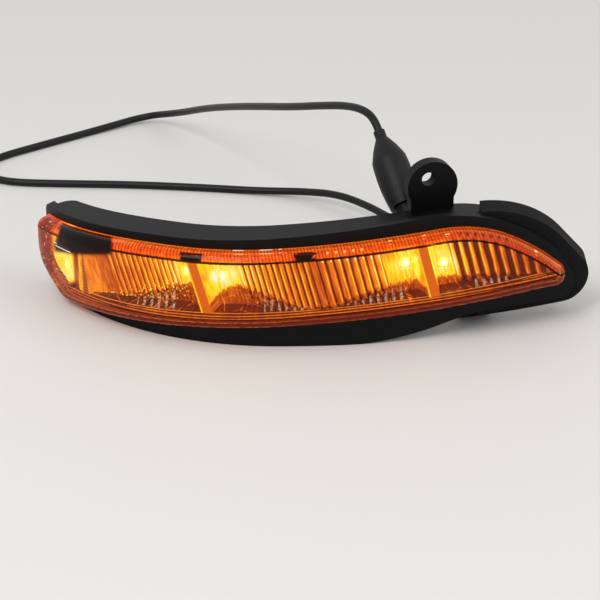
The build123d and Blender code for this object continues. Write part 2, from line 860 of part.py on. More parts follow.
# Screws: shank and round head with a cross slot
with BuildPart() as board_screws:
    for x in (-pillar_place, pillar_place):
        origin = main_plane.from_local_coords(Vector(x, 0, 0))
        spot = Plane(origin=origin, x_dir=main_plane.x_dir, z_dir=main_plane.z_dir)
        with BuildSketch(spot):
            Circle(board_screw_head / 2)
        extrude(amount=board_screw_head_height)
        with BuildSketch(spot):
            Circle(board_screw_shank / 2)
        extrude(amount=-board_screw_length)
        with BuildSketch(spot.offset(board_screw_head_height)):
            Rectangle(board_screw_head * 0.7, screw_slot / 2)
            Rectangle(screw_slot / 2, board_screw_head * 0.7)
        extrude(amount=-board_screw_head_height / 2, mode=Mode.SUBTRACT)
board_screws.part.label = "board_screws"
export_step(board_screws.part, "parts/board_screws.step")

with BuildPart() as reflector_screws:
    for along, level in screw_places:
        seat = rear_depth(along) + pad_rise
        spot = face_plane(along, -seat, level)
        with BuildSketch(spot):
            Circle(screw_head / 2)
        extrude(amount=-screw_head_height)
        with BuildSketch(spot):
            Circle(screw_shank / 2)
        extrude(amount=seat - seat_depth + screw_reach)
        with BuildSketch(spot.offset(-screw_head_height)):
            Rectangle(screw_head * 0.7, screw_slot)
            Rectangle(screw_slot, screw_head * 0.7)
        extrude(amount=screw_head_height / 2, mode=Mode.SUBTRACT)
reflector_screws.part.label = "reflector_screws"
export_step(reflector_screws.part, "parts/reflector_screws.step")


def on_board(board_plane, x, y, behind):
    """Point behind a board, given on the board's own plane."""
    return board_plane.from_local_coords(Vector(x, y, -board_thickness - behind))


def in_tub(along, depth, level):
    """Point inside the tub, given along the face, in depth and in height."""
    x, y = plan_point(along, -depth)
    return Vector(x, y, level)


def corner_radii(route):
    """Largest arcs that the runs of a route allow, one for each corner."""
    radii = []
    for before, here, after in zip(route, route[1:], route[2:]):
        coming = Vector(here) - Vector(before)
        leaving = Vector(after) - Vector(here)
        turn = radians(coming.get_angle(leaving))
        radii.append(0.45 * min(coming.length, leaving.length) / tan(turn / 2))
    return radii


# Pairs of thin wires that join the small boards to the main board
left_board, right_board = diode_planes
jumper_routes = []
for shift in (-wire_gap / 2, wire_gap / 2):
    jumper_routes.append(
        [
            on_board(main_plane, -19, 5 + shift, 0),
            on_board(main_plane, -19, 5 + shift, 1.6),
            in_tub(left_place(0.107), 15.6, main_board_level + 3.5 + shift),
            on_board(left_board, 9, 2.5 + shift, 1.5),
            on_board(left_board, 9, 2.5 + shift, 0),
        ]
    )
    jumper_routes.append(
        [
            on_board(main_plane, 19.4, 7.4 + shift, 0),
            on_board(main_plane, 19.4, 7.4 + shift, 1.6),
            in_tub(30, 16.0, main_board_level + 7.8 + shift),
            on_board(right_board, -8.5, 5.6 + shift, 1.5),
            on_board(right_board, -8.5, 5.6 + shift, 0),
        ]
    )
    jumper_routes.append(
        [
            on_board(left_board, -9, 2.5 + shift, 0),
            on_board(left_board, -9, 2.5 + shift, 1.5),
            in_tub(left_place(0.497), 13.6, 29 + shift),
            in_tub(left_place(0.637), 10.8, 28 + shift),
            in_tub(left_place(0.737), 8.4, 23 + shift),
            on_board(end_plane_front, 0.5, 5.2 + shift, 1.4),
            on_board(end_plane_front, 0.5, 5.2 + shift, 0),
        ]
    )
with BuildPart() as jumper_wires:
    for route in jumper_routes:
        with BuildLine():
            path = Polyline(*route)
        with BuildSketch(Plane(origin=path @ 0, z_dir=path % 0)):
            RegularPolygon(wire_diameter / 2, 6)
        sweep(transition=Transition.RIGHT)
jumper_wires.part.label = "jumper_wires"
export_step(jumper_wires.part, "parts/jumper_wires.step")

# Rubber boot over the spout, moulded onto the lead at its neck
boot_side = boot_axis.cross(Vector(0, 0, 1)).normalized()
boot_half = Plane(origin=boot_base, x_dir=boot_side, z_dir=boot_side.cross(boot_axis))
with BuildPart() as cable_boot:
    with BuildSketch(boot_half):
        with BuildLine():
            belly = ThreePointArc(
                (boot_mouth_radius, 0),
                (boot_radius, boot_length * 0.38),
                (boot_radius * 0.95, boot_length * 0.62),
            )
            throat = Line(belly @ 1, (neck_radius + boot_radius * 0.35, boot_length * 0.77))
            waist = Line(throat @ 1, (neck_radius, boot_length - neck_length))
            flank = Line(waist @ 1, (neck_radius, boot_length))
            Polyline(
                flank @ 1,
                (0, boot_length),
                (0, boot_chamber),
                (spout_bore, boot_chamber),
                (spout_bore, spout_grip + fit),
                (spout_radius + fit, spout_grip + fit),
                (spout_radius + fit, 0),
                belly @ 0,
            )
        make_face()
    revolve(axis=Axis(boot_base, boot_axis))
cable_boot.part.label = "cable_boot"
export_step(cable_boot.part, "parts/cable_boot.step")


def spout_entry(shift, reach):
    """Point in the spout's bore, beside its axis, at a reach from the axis's inner end."""
    return spout_root + boot_side * shift + boot_axis * reach


# Wires inside, from the header through the spout to the end of the lead
with BuildPart() as inner_wires:
    for shift in (-wire_gap / 2, wire_gap / 2):
        route = [
            on_board(main_plane, header_x + header_width / 2, header_y + shift, header_depth / 2),
            on_board(main_plane, header_x + header_width / 2 + 3, header_y + shift, header_depth / 2),
            in_tub(43.5, 16.0, 27.0 + shift),
            spout_entry(-shift, 0),
            spout_entry(-shift, spout_length + boot_chamber - spout_grip),
        ]
        with BuildLine():
            path = Polyline(*route)
        with BuildSketch(Plane(origin=path @ 0, z_dir=path % 0)):
            RegularPolygon(wire_diameter / 2, 6)
        sweep(transition=Transition.RIGHT)
inner_wires.part.label = "inner_wires"
export_step(inner_wires.part, "parts/inner_wires.step")

# Rubber cap on the breather
with BuildPart() as vent_cap:
    with BuildSketch(vent_plane.offset(-vent_cap_gap)):
        Circle(vent_radius + fit + vent_cap_wall)
    extrude(amount=-(vent_length + vent_cap_wall))
    with BuildSketch(vent_plane.offset(-vent_cap_gap)):
        Circle(vent_radius + fit)
    extrude(amount=-(vent_length - vent_cap_gap + fit), mode=Mode.SUBTRACT)
vent_cap.part.label = "vent_cap"
export_step(vent_cap.part, "parts/vent_cap.step")

# Lead: out of the boot, down to the floor behind the lamp, round a bend past the lamp's
# left end and back to its connector, which lies behind the lamp
lead_route = [
    tuple(neck_end),
    tuple(neck_end + boot_axis * lead_straight),
    (21.2, 38.8, 71.2),
    (14.5, 49.0, 68.9),
    (5.0, 63.1, 63.6),
    (-7.0, 82.6, 55.8),
    (-20.0, 109.6, 46.0),
    (-33.0, 139.6, 34.8),
    (-46.0, 170.6, 22.5),
    (-60.0, 199.1, 9.5),
    (-76.0, 214.1, 2.6),
    (-98.0, 197.6, 1.7),
    (-121.0, 179.1, 1.7),
    (-141.8, 161.8, 1.7),
    (-145.4, 150.6, 1.7),
    (-141.6, 139.4, 1.7),
    (-131.7, 133.0, 1.7),
    (-111.0, 131.4, 1.7),
    (-77.0, 130.2, 1.7),
    (-46.0, 126.6, 1.7),
    (-21.0, 122.6, 1.8),
    (-2.0, 116.6, 4.0),
    (13.0, 106.1, 7.0),
    (25.5, 92.6, 7.4),
    (35.5, 81.1, 6.0),
    (43.5, 72.6, 6.0),
]
lead_radii = corner_radii(lead_route)
print("lead arcs, mm:", [round(radius, 1) for radius in lead_radii])
with BuildPart() as lead:
    with BuildLine():
        lead_path = FilletPolyline(*lead_route, radius=lead_radii)
    with BuildSketch(Plane(origin=lead_path @ 0, z_dir=lead_path % 0)):
        Circle(lead_diameter / 2)
    sweep()
print("lead length", lead_path.length)
print("lead volume over section times length", lead.part.volume / (pi * lead_diameter**2 / 4 * lead_path.length))
lead.part.label = "lead"
export_step(lead.part, "parts/lead.step")

# Connector on the lead's end: a stepped body with a latch arm and two terminals inside
plug_axis = (Vector(*lead_route[-1]) - Vector(*lead_route[-2])).normalized()
plug_rear = Plane(origin=lead_route[-1], x_dir=plug_axis.cross(Vector(0, 0, 1)), z_dir=plug_axis)
with BuildPart() as connector_plug:
    with BuildSketch(plug_rear):
        RectangleRounded(plug_width, plug_height, plug_rear_corner)
    extrude(amount=plug_back_length)
    with BuildSketch(plug_rear.offset(plug_back_length)):
        RectangleRounded(plug_front_width, plug_front_height, plug_front_corner)
    extrude(amount=plug_length - plug_back_length)
    with BuildSketch(plug_rear.offset(plug_back_length)):
        with Locations((0, (plug_front_height + latch_height / 3) / 2)):
            Rectangle(latch_width, latch_height)
    extrude(amount=plug_length - plug_back_length - latch_setback)
    with BuildSketch(plug_rear.offset(plug_length)):
        with Locations((-terminal_pitch, 0), (0, 0), (terminal_pitch, 0)):
            Circle(terminal_radius)
    extrude(amount=-terminal_length, mode=Mode.SUBTRACT)
connector_plug.part.label = "connector_plug"
export_step(connector_plug.part, "parts/connector_plug.step")

# Brass sockets that stand on the floors of the connector's holes
with BuildPart() as plug_terminals:
    with BuildSketch(plug_rear.offset(plug_length - terminal_length)):
        with Locations((-terminal_pitch, 0), (0, 0), (terminal_pitch, 0)):
            Circle(terminal_radius - fit)
    extrude(amount=terminal_length - terminal_recess)
    with BuildSketch(plug_rear.offset(plug_length - terminal_recess)):
        with Locations((-terminal_pitch, 0), (0, 0), (terminal_pitch, 0)):
            Circle(terminal_radius / 2)
    extrude(amount=-5, mode=Mode.SUBTRACT)
plug_terminals.part.label = "plug_terminals"
export_step(plug_terminals.part, "parts/plug_terminals.step")
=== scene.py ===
import math
import bmesh
import bpy
import numpy as np
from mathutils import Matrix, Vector


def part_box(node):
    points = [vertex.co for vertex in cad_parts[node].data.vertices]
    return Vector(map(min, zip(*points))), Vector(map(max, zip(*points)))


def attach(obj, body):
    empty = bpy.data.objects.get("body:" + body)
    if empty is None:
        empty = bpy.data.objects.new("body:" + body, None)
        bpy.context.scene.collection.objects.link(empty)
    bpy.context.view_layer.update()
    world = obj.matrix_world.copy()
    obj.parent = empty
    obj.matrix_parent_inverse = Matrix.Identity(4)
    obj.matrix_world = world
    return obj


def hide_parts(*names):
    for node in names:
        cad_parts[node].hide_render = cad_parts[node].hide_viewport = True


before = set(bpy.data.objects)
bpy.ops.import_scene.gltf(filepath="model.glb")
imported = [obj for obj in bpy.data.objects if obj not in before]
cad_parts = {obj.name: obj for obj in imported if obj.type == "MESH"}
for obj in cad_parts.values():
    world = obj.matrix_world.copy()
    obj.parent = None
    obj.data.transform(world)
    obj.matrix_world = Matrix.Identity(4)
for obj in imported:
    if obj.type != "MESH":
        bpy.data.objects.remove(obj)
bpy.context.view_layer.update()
print("frame loaded:", len(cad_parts), "nodes")

mm = 0.001
smooth = {"interpolation_type": "SMOOTHSTEP"}  # for Map Range: a soft step from nought to one

# The flange face in plan: two arcs that meet at the foremost point, as in the lamp's frame
faceCurve = {
    "apexX": -12.3 * mm,
    "apexY": -28.9 * mm,
    "leftRadius": 100.0 * mm,
    "rightRadius": 300.0 * mm,
}


def metres(lengths):
    # lengths given in mm, as Blender counts in metres
    return [length * mm for length in lengths]


def linear(hexColour):
    # sRGB hex to the linear colour that a shader socket takes
    parts = [int(hexColour[i:i + 2], 16) / 255 for i in (1, 3, 5)]
    parts = [c / 12.92 if c <= 0.04045 else ((c + 0.055) / 1.055) ** 2.4 for c in parts]
    return (*parts, 1.0)


def addNode(tree, kind, *values, stops=(), **settings):
    # one shader node: values go to its open sockets in their order, settings to the property or socket
    # of their name, stops to its colour ramp. A value is a number, a colour, a socket, or a node, of
    # which the first open output is taken
    node = tree.nodes.new("ShaderNode" + kind)
    for name in [name for name in settings if hasattr(node, name)]:
        setattr(node, name, settings.pop(name))
    targets = list(zip([socket for socket in node.inputs if socket.enabled], values))
    targets += [(node.inputs[name], value) for name, value in settings.items()]
    for socket, value in targets:
        if isinstance(value, bpy.types.Node):
            value = next(output for output in value.outputs if output.enabled)
        if isinstance(value, bpy.types.NodeSocket):
            tree.links.new(value, socket)
        else:
            socket.default_value = value
    if stops:
        elements = node.color_ramp.elements
        while len(elements) < len(stops):
            elements.new(0.5)
        for element, (place, colour) in zip(elements, stops):
            element.position = place
            element.color = linear(colour)
    return node


def newMaterial(name):
    # an empty material, and the function that adds nodes to it
    material = bpy.data.materials.new(name)
    material.use_nodes = True
    tree = material.node_tree
    tree.nodes.clear()
    return material, lambda kind, *values, **settings: addNode(tree, kind, *values, **settings)


def endMaterial(material, add, sockets):
    # the surface shader with what goes to its sockets, and the output
    add("OutputMaterial", add("BsdfPrincipled", **sockets))
    return material


def objectPlace(add):
    # Object coordinates, their three parts in metres, and how far the face looks up
    coordinates = add("TexCoord").outputs
    x, y, z = add("SeparateXYZ", coordinates["Object"]).outputs
    normalZ = add("SeparateXYZ", coordinates["Normal"]).outputs["Z"]
    return coordinates["Object"], x, y, z, normalZ


def times(add, *values):
    # all the values multiplied
    result = values[0]
    for value in values[1:]:
        result = add("Math", result, value, operation="MULTIPLY")
    return result


def outside(add, *masks):
    # one where none of the masks is, else nought
    return times(add, *(add("Math", 1.0, mask, operation="SUBTRACT") for mask in masks))


def between(add, value, low, high):
    # one where the value lies between two limits, else nought
    above = add("Math", value, low, operation="GREATER_THAN")
    return times(add, above, add("Math", value, high, operation="LESS_THAN"))


def inAny(add, value, ranges):
    # one where the value lies in any of the ranges, which are in mm
    total = 0.0
    for low, high in ranges:
        total = add("Math", total, between(add, value, low * mm, high * mm), operation="ADD")
    return total


def cycle(add, value, pitch):
    # share of the way from one multiple of the pitch, in mm, to the next
    return add("Math", add("Math", value, pitch * mm, operation="DIVIDE"), operation="FRACT")


def stripes(add, value, pitch, share):
    # one in the first share of each pitch, in mm, else nought
    return add("Math", cycle(add, value, pitch), share, operation="LESS_THAN")


def aboveLine(add, x, z, slope, level):
    # height over a line that rises along X by the slope, from a level in mm
    line = add("Math", x, slope, level * mm, operation="MULTIPLY_ADD")
    return add("Math", z, line, operation="SUBTRACT")


def faceDepth(add, x, y):
    # how far a point stands proud of the flange face: its distance from the arc's centre, less the radius
    depths = []
    for radius in (faceCurve["leftRadius"], faceCurve["rightRadius"]):
        acrossX = add("Math", x, faceCurve["apexX"], operation="SUBTRACT")
        acrossY = add("Math", y, faceCurve["apexY"] + radius, operation="SUBTRACT")
        square = add("Math", acrossX, acrossX, times(add, acrossY, acrossY), operation="MULTIPLY_ADD")
        reach = add("Math", square, operation="SQRT")
        depths.append(add("Math", reach, radius, operation="SUBTRACT"))
    onLeft = add("Math", x, faceCurve["apexX"], operation="LESS_THAN")
    return add("Mix", onLeft, depths[1], depths[0])


def placeAlong(add, x, depth):
    # place along the flange face: the point's distance in X from the apex, carried along the arc's
    # radius to the face
    onLeft = add("Math", x, faceCurve["apexX"], operation="LESS_THAN")
    radius = add("Mix", onLeft, faceCurve["rightRadius"], faceCurve["leftRadius"])
    across = add("Math", x, faceCurve["apexX"], operation="SUBTRACT")
    reach = add("Math", radius, depth, operation="ADD")
    carried = add("Math", times(add, across, radius), reach, operation="DIVIDE")
    return add("Math", carried, faceCurve["apexX"], operation="ADD")


def leaningPlace(add, x, y, z):
    # the same for a point on the leaning flutes, and its depth: the point is first slid down the lean
    # to the level at which the flutes were laid out
    above = add("Math", z, flutes["slantLevel"] * mm, operation="SUBTRACT")
    upright = add("Math", above, math.tan(math.radians(flutes["slant"])), x, operation="MULTIPLY_ADD")
    depth = faceDepth(add, upright, y)
    return placeAlong(add, upright, depth), depth


def smoothCopy(nodeName, name, angle=32.0):
    # the node's own form with its doubles merged, so that its curved faces shade smoothly
    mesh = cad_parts[nodeName].data.copy()
    mesh.name = name
    piece = bpy.data.objects.new(name, mesh)
    bpy.context.scene.collection.objects.link(piece)
    worker = bmesh.new()
    worker.from_mesh(mesh)
    bmesh.ops.remove_doubles(worker, verts=worker.verts, dist=0.002 * mm)
    worker.to_mesh(mesh)
    worker.free()
    if "custom_normal" in mesh.attributes:
        mesh.attributes.remove(mesh.attributes["custom_normal"])
    mesh.shade_smooth()
    mesh.set_sharp_from_angle(angle=math.radians(angle))
    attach(piece, "root")
    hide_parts(nodeName)
    return piece


def sinkFace(piece, proudOf, amount):
    # vertices more than so many mm proud of the flange face move towards it along its radius, so that
    # two faces that touch in the model don't flicker through each other
    mesh = piece.data
    places = np.empty(len(mesh.vertices) * 3)
    mesh.vertices.foreach_get("co", places)
    places = places.reshape(-1, 3)
    onLeft = places[:, 0] < faceCurve["apexX"]
    radius = np.where(onLeft, faceCurve["leftRadius"], faceCurve["rightRadius"])
    acrossX = places[:, 0] - faceCurve["apexX"]
    acrossY = places[:, 1] - faceCurve["apexY"] - radius
    across = np.stack([acrossX, acrossY], axis=1)
    reach = np.linalg.norm(across, axis=1)
    moved = np.where(reach - radius > proudOf * mm, amount * mm, 0.0)
    places[:, :2] -= across / reach[:, None] * moved[:, None]
    mesh.vertices.foreach_set("co", places.ravel())
    mesh.update()


def dress(piece, material):
    piece.data.materials.clear()
    piece.data.materials.append(material)


# Camera at the photograph's angle
view = {"elevation": 25.0, "distance": 0.9, "lens": 142.857, "aim": (-3.3 * mm, -28.9 * mm, 19.57 * mm)}
cameraData = bpy.data.cameras.new("camera")
cameraData.lens = view["lens"]
cameraData.sensor_width = 36.0
cameraData.clip_start = 0.01
camera = bpy.data.objects.new("camera", cameraData)
bpy.context.scene.collection.objects.link(camera)
elevation = math.radians(view["elevation"])
back = Vector((0, -math.cos(elevation), math.sin(elevation)))
camera.location = Vector(view["aim"]) + back * view["distance"]
camera.rotation_mode = "QUATERNION"
camera.rotation_quaternion = (-back).to_track_quat("-Z", "Y")
bpy.context.scene.camera = camera
bpy.context.scene.view_settings.view_transform = "Standard"

# Lead: the route's points, in mm, are the control points of one smooth spline
lead = {
    "diameter": 3.2,
    "route": [
        (27.6, 28.1, 65.8),
        (25.8, 32.147, 69.847),
        (21.2, 38.8, 71.2),
        (14.5, 49.0, 68.9),
        (5.0, 63.1, 63.6),
        (-7.0, 82.6, 55.8),
        (-20.0, 109.6, 46.0),
        (-33.0, 139.6, 34.8),
        (-46.0, 170.6, 22.5),
        (-60.0, 199.1, 9.5),
        (-76.0, 214.1, 2.6),
        (-98.0, 197.6, 1.7),
        (-121.0, 179.1, 1.7),
        (-141.8, 161.8, 1.7),
        (-145.4, 150.6, 1.7),
        (-141.6, 139.4, 1.7),
        (-131.7, 133.0, 1.7),
        (-111.0, 131.4, 1.7),
        (-77.0, 130.2, 1.7),
        (-46.0, 126.6, 1.7),
        (-21.0, 122.6, 1.8),
        (-2.0, 116.6, 4.0),
        (13.0, 106.1, 7.0),
        (25.5, 92.6, 7.4),
        (35.5, 81.1, 6.0),
        (43.5, 72.6, 6.0),
    ],
}


def makeLead():
    curve = bpy.data.curves.new("leadLine", "CURVE")
    curve.dimensions = "3D"
    spline = curve.splines.new("NURBS")
    spline.points.add(len(lead["route"]) - 1)
    for point, place in zip(spline.points, lead["route"]):
        point.co = (*metres(place), 1.0)
        point.radius = lead["diameter"] / 2 * mm
    spline.order_u = 3
    spline.use_endpoint_u = True
    spline.use_smooth = True
    curve.resolution_u = 16
    curve.bevel_depth = 1.0  # times each point's radius, which the curve's box takes in too
    curve.bevel_resolution = 5
    curve.use_fill_caps = True
    piece = bpy.data.objects.new("leadCable", curve)
    bpy.context.scene.collection.objects.link(piece)
    return piece


leadCable = makeLead()
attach(leadCable, "root")
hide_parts("lead")
print("lead laid")

# The five diodes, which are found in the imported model, and what each of them lights
diodes = {
    "names": ["led_1", "led_2", "led_3", "led_4", "led_5"],
    # lowest and highest place along the face, in mm, that each one reaches
    "reach": [(-120, -84), (-84, -43.0), (-41.5, 4.4), (4.4, 45.5), (47.5, 120)],
    "strength": [0.95, 1.0, 1.1, 1.0, 1.0],
    "falloff": 75.0,  # mm at which the light on a wall has halved
    "facing": 0.22,  # share of that light which depends on how the wall faces the diode
    "halo": [11.0, 5.6, 8.0, 6.8, 8.4],  # mm, size of the painted yellow halo of light round each diode
    "haloStrength": 1.5,
    "wallLight": 0.74,  # light level on a wall that faces its diode
}

# The fluted walls of the reflector, in mm
flutes = {
    # ridge, floor end and number of flutes along the face, then the share of a flute that lies in its
    # dark gap and the light level there
    "runs": [
        (-80.0, -54.0, 14, 0.16, "#5c5c5c"),
        (3.2, -27.0, 12, 0.2, "#4c4c4c"),
        (5.6, 31.0, 8, 0.18, "#505050"),
        (91.5, 58.5, 9, 0.44, "#242424"),
    ],
    "flanks": [(0.7, "#bcbcbc"), (0.8, "#fcfcfc"), (0.9, "#b0b0b0")],  # light levels across a flute
    "dim": (56.0, 62.0),  # places along the face over which the last wall's light grows weaker
    "slant": 15.0,  # degrees that they lean
    "slantLevel": 24.0,  # height at which they were laid out
    "streakWidth": 0.9,
    "posts": [-42.3, 46.6],  # middles of the posts that part the cells, along the face
    "postHalf": 2.1,  # half a post's width
    "postEdge": 0.7,  # width of its bright left edge
    "postFront": (-1.6, -0.2),  # depths between which a post's front lies
}

# The floors of the reflector's cells, and what the walls mirror of them, in mm
floors = {
    "sill": -10.05,  # depth behind which a level face is the sill of a diode's opening
    "facetSize": 8.0,
    # the line up to which the walls mirror the floor: the X up to which a stretch holds, its ends in X
    # and its ends in height; right of them all it is level
    "lines": [
        (46.0, (8.0, 40.0), (16.5, 21.8)),
        (3.0, (-27.0, -3.0), (21.4, 15.0)),
        (-27.0, (-40.0, -27.0), (14.5, 21.4)),
        (-42.0, (-88.0, -46.0), (3.4, 19.1)),
    ],
    "lastLine": 22.2,
    "fleckHeight": 8.0,  # how far the flecks stray over and under the line, in all
    "speckSize": 1.1,
    "speckFrom": (-4.0, -1.0),  # drops below the line over which the painted glint specks set in
    "speckTo": (5.0, 9.0),  # and die away
    "leftCell": -46.0,  # X left of which the painted glint specks are bright
    "glintDashes": [(-66.0, -50.0), (-17.0, 3.0), (12.0, 36.0), (62.0, 77.0)],  # rows of pale dashes of painted reflection, in X
    "dashPitch": 2.9,
    "dashGrain": 0.8,
    "dashDepth": (-9.0, -1.9),  # depths between which they stand on a floor
    "dashDrop": (1.5, 3.0),  # drops below the line over which they set in on a wall
    "highlightLine": (-1.5, -0.9),  # depths of the painted highlight and shade lines along the front of each floor
    "shadeLine": (-0.9, 0.0),
}

# The reflector's rim, the shaded gap beside the left diode's pocket and the sparks under the cover's
# fold, in mm; a line is given by its slope along X and its height at X nought
rim = {
    "proud": 0.2,  # depth from which a point belongs to the rim
    "edge": (0.074, 14.7),  # the line that the rim's fine lines run along
    "middle": (0.05, 24.0),  # the line that parts its lower half from its upper one
    "linePitch": 1.15,
    "gap": (-93.2, -90.2),  # along the face
    "sparkLine": (-0.12, 35.2),
    "sparkEnds": (2.0, 27.0),
    "sparkHeights": (-0.7, 0.5),  # over the line
}

# Colours of the amber light from dark to its core, each with the light level that gives it
amber = [
    (0.0, "#100200"),
    (0.15, "#641802"),
    (0.35, "#ba4a06"),
    (0.55, "#ea7610"),
    (0.8, "#fb9c14"),
    (1.0, "#fdcc12"),
    (1.25, "#fce61e"),
    (1.6, "#fff27c"),
    (2.0, "#fffce4"),
]


def amberLight(add, light):
    # the colour of a light level; the levels are halved, because a colour ramp ends at one
    return add("ValToRGB", times(add, light, 0.5), stops=[(level / 2, colour) for level, colour in amber])


def fromDiode(add, place, number):
    # the way from a point to the middle of one diode, and its length
    bottom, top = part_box(diodes["names"][number])
    away = add("VectorMath", tuple((bottom + top) / 2), place, operation="SUBTRACT")
    return away, add("VectorMath", away, operation="LENGTH")


def diodeGlow(add, place, along):
    # painted light that each diode throws on the walls of its own cell, and the painted bright halo close
    # round it
    normal = add("TexCoord").outputs["Normal"]
    total = 0.0
    for number, (low, high) in enumerate(diodes["reach"]):
        away, reach = fromDiode(add, place, number)
        towards = add("VectorMath", away, operation="NORMALIZE")
        facing = add("VectorMath", towards, normal, operation="DOT_PRODUCT")
        facing = add("Math", facing, diodes["facing"], 1 - diodes["facing"], operation="MULTIPLY_ADD")
        share = add("Math", reach, diodes["falloff"] * mm, operation="DIVIDE")
        fall = add("Math", share, share, 1.0, operation="MULTIPLY_ADD")
        onWall = add("Math", times(add, facing, diodes["wallLight"]), fall, operation="DIVIDE")
        haloShare = add("Math", reach, -diodes["halo"][number] * mm, operation="DIVIDE")
        halo = add("Math", math.e, haloShare, operation="POWER")
        lit = add("Math", halo, diodes["haloStrength"], onWall, operation="MULTIPLY_ADD")
        lit = times(add, lit, between(add, along, low * mm, high * mm), diodes["strength"][number])
        total = add("Math", total, lit, operation="ADD")
    return total


def fluteShine(add, along):
    # light level across each flute: a dark gap, a broad orange flank and a thin bright edge; and where
    # there are flutes
    total = covered = 0.0
    for ridge, floor, count, gap, gapLevel in flutes["runs"]:
        perMetre = count / ((floor - ridge) * mm)
        number = add("Math", along, perMetre, -perMetre * ridge * mm, operation="MULTIPLY_ADD")
        stops = [(0.0, gapLevel), (gap, gapLevel), (gap + 0.1, "#a8a8a8"), *flutes["flanks"]]
        stops.append((1.0, gapLevel))
        shine = add("ValToRGB", add("Math", number, operation="FRACT"), stops=stops)
        inside = between(add, number, 0.0, float(count))
        total = add("Math", shine, inside, total, operation="MULTIPLY_ADD")
        covered = add("Math", covered, inside, operation="ADD")
    return total, covered


def lowLine(add, x):
    # height of the line below which each cell's walls mirror its own floor
    line = floors["lastLine"] * mm
    for right, ends, heights in floors["lines"]:
        stretch = add("MapRange", x, *metres(ends), *metres(heights))
        line = add("Mix", add("Math", x, right * mm, operation="LESS_THAN"), line, stretch)
    return line


